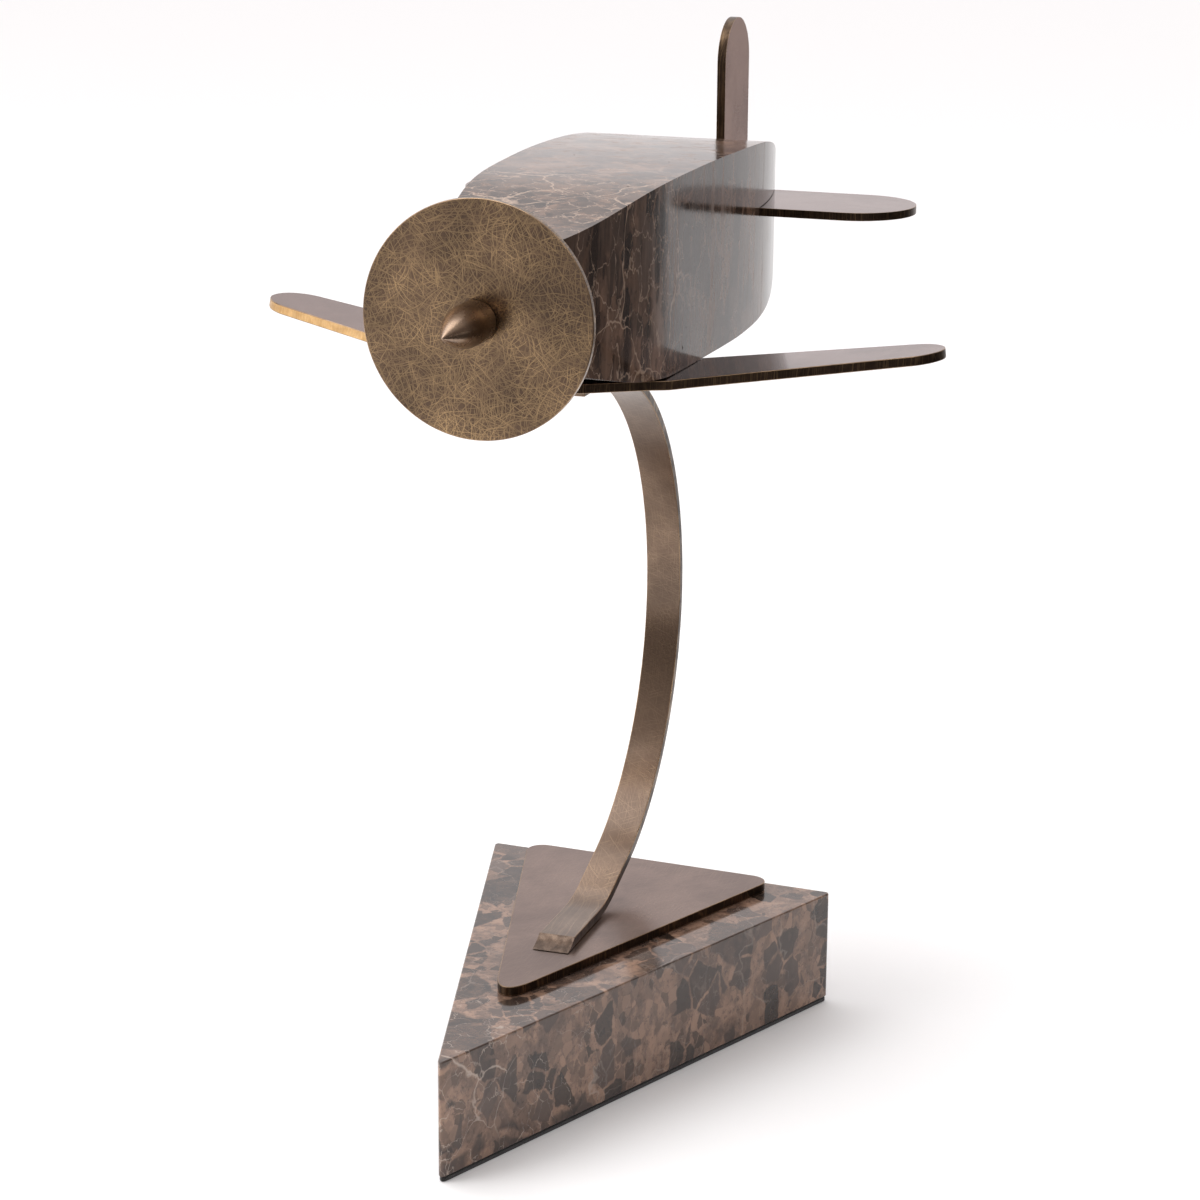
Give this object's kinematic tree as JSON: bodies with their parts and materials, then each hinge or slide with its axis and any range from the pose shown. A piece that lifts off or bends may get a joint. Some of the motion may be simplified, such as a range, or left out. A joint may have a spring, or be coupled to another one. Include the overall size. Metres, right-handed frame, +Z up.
{
  "type": "desk aeroplane sculpture",
  "caption": "Decorative aeroplane with a polished stone body and bronze wing, tail and propeller disc, on a bowed bar and a triangular stone base.",
  "frame": {"origin": "on the underside of the felt pad, below the front end of the bowed bar's foot, in the aeroplane's plane of symmetry", "axes": "+Z up, nose towards -Y, +X towards the right-hand wing tip as seen from the front"},
  "size_m": [0.2992, 0.4036, 0.4264],
  "materials": {
    "body_marble": "polished",
    "base_marble": "polished",
    "bronze_plate": "satin antique bronze",
    "scratched_bronze": "antique bronze with fine random scratches",
    "spinner_bronze": "smooth satin antique bronze",
    "bearing_brass": "machined",
    "zinc_steel": "zinc plated",
    "black_felt": "felt"
  },
  "bodies": {
    "sculpture": {"marble_base": "base_marble", "felt_pad": "black_felt", "base_plate": "bronze_plate", "base_stud_front": "zinc_steel", "base_stud_left": "zinc_steel", "base_stud_right": "zinc_steel", "base_washer_front": "zinc_steel", "base_washer_left": "zinc_steel", "base_washer_right": "zinc_steel", "base_nut_front": "zinc_steel", "base_nut_left": "zinc_steel", "base_nut_right": "zinc_steel", "support_strap": "bronze_plate", "foot_weld": "bronze_plate", "fuselage": "body_marble", "wing": "bronze_plate", "wing_screw_front": "bronze_plate", "wing_screw_rear": "bronze_plate", "wing_insert_front": "bearing_brass", "wing_insert_rear": "bearing_brass", "fin": "bronze_plate", "tailplane_right": "bronze_plate", "tailplane_left": "bronze_plate", "propeller_bush": "bearing_brass", "front_washer": "spinner_bronze", "propeller_stud": "zinc_steel", "nose_insert": "bearing_brass", "spinner": "spinner_bronze"},
    "propeller": {"propeller_disc": "scratched_bronze"}
  },
  "joints": [
    {"name": "propeller_spin", "type": "hinge", "parent": "sculpture", "child": "propeller", "pos_m": [0, -0.0935, 0.3449], "axis": [0, -1, 0], "continuous": true}
  ]
}
